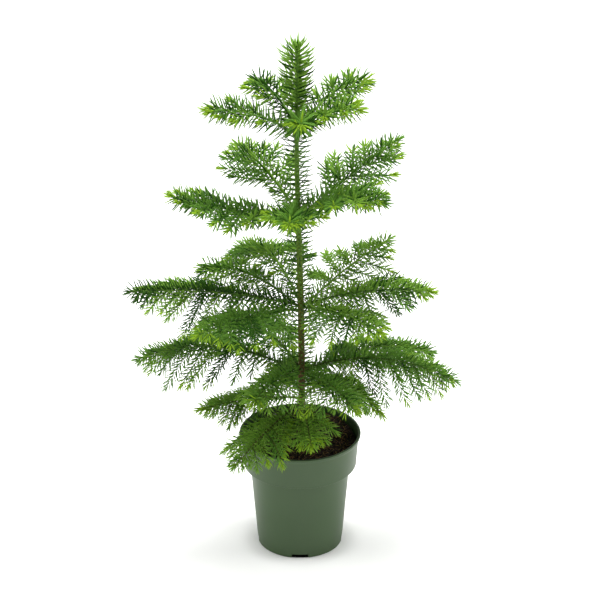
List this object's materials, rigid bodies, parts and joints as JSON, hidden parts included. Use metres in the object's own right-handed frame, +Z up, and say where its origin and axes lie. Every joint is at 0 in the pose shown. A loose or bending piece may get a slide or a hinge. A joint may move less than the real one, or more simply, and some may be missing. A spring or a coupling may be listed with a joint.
{
  "type": "potted norfolk island pine",
  "caption": "Young Norfolk Island pine with whorls of flat needle fronds on a slim trunk, standing in a round green plastic nursery pot of soil.",
  "frame": {"origin": "centre of the pot's flat underside, on the surface that the pot stands on", "axes": "+Z up along the trunk, -Y towards the plant's front, +X to the right seen from the front"},
  "size_m": [0.3553, 0.221, 0.581],
  "materials": {
    "pot_plastic": "satin moulded plastic",
    "peat": "rough damp peat",
    "bark": "rough young bark",
    "needles": "soft satin needles"
  },
  "bodies": {
    "root": {"pot": "pot_plastic", "soil": "peat", "trunk": "bark", "leader_needles": "needles", "whorl_1_back_left_bough": "bark", "whorl_1_back_left_needles": "needles", "whorl_1_back_right_bough": "bark", "whorl_1_back_right_needles": "needles", "whorl_1_front_bough": "bark", "whorl_1_front_needles": "needles", "whorl_1_front_right_bough": "bark", "whorl_1_front_right_needles": "needles", "whorl_1_left_bough": "bark", "whorl_1_left_needles": "needles", "whorl_2_back_left_bough": "bark", "whorl_2_back_left_needles": "needles", "whorl_2_back_right_bough": "bark", "whorl_2_back_right_needles": "needles", "whorl_2_front_bough": "bark", "whorl_2_front_needles": "needles", "whorl_2_front_right_bough": "bark", "whorl_2_front_right_needles": "needles", "whorl_2_left_bough": "bark", "whorl_2_left_needles": "needles", "whorl_3_back_left_bough": "bark", "whorl_3_back_left_needles": "needles", "whorl_3_back_right_bough": "bark", "whorl_3_back_right_needles": "needles", "whorl_3_far_left_bough": "bark", "whorl_3_far_left_needles": "needles", "whorl_3_front_left_bough": "bark", "whorl_3_front_left_needles": "needles", "whorl_3_front_right_bough": "bark", "whorl_3_front_right_needles": "needles", "whorl_3_left_bough": "bark", "whorl_3_left_needles": "needles", "whorl_3_right_bough": "bark", "whorl_3_right_needles": "needles", "whorl_4_back_left_bough": "bark", "whorl_4_back_left_needles": "needles", "whorl_4_back_right_bough": "bark", "whorl_4_back_right_needles": "needles", "whorl_4_front_left_bough": "bark", "whorl_4_front_left_needles": "needles", "whorl_4_front_right_bough": "bark", "whorl_4_front_right_needles": "needles", "whorl_4_left_bough": "bark", "whorl_4_left_needles": "needles", "whorl_4_right_bough": "bark", "whorl_4_right_needles": "needles", "whorl_5_back_bough": "bark", "whorl_5_back_needles": "needles", "whorl_5_front_bough": "bark", "whorl_5_front_left_bough": "bark", "whorl_5_front_left_needles": "needles", "whorl_5_front_needles": "needles", "whorl_5_left_bough": "bark", "whorl_5_left_needles": "needles", "whorl_5_right_bough": "bark", "whorl_5_right_needles": "needles"}
  },
  "joints": []
}
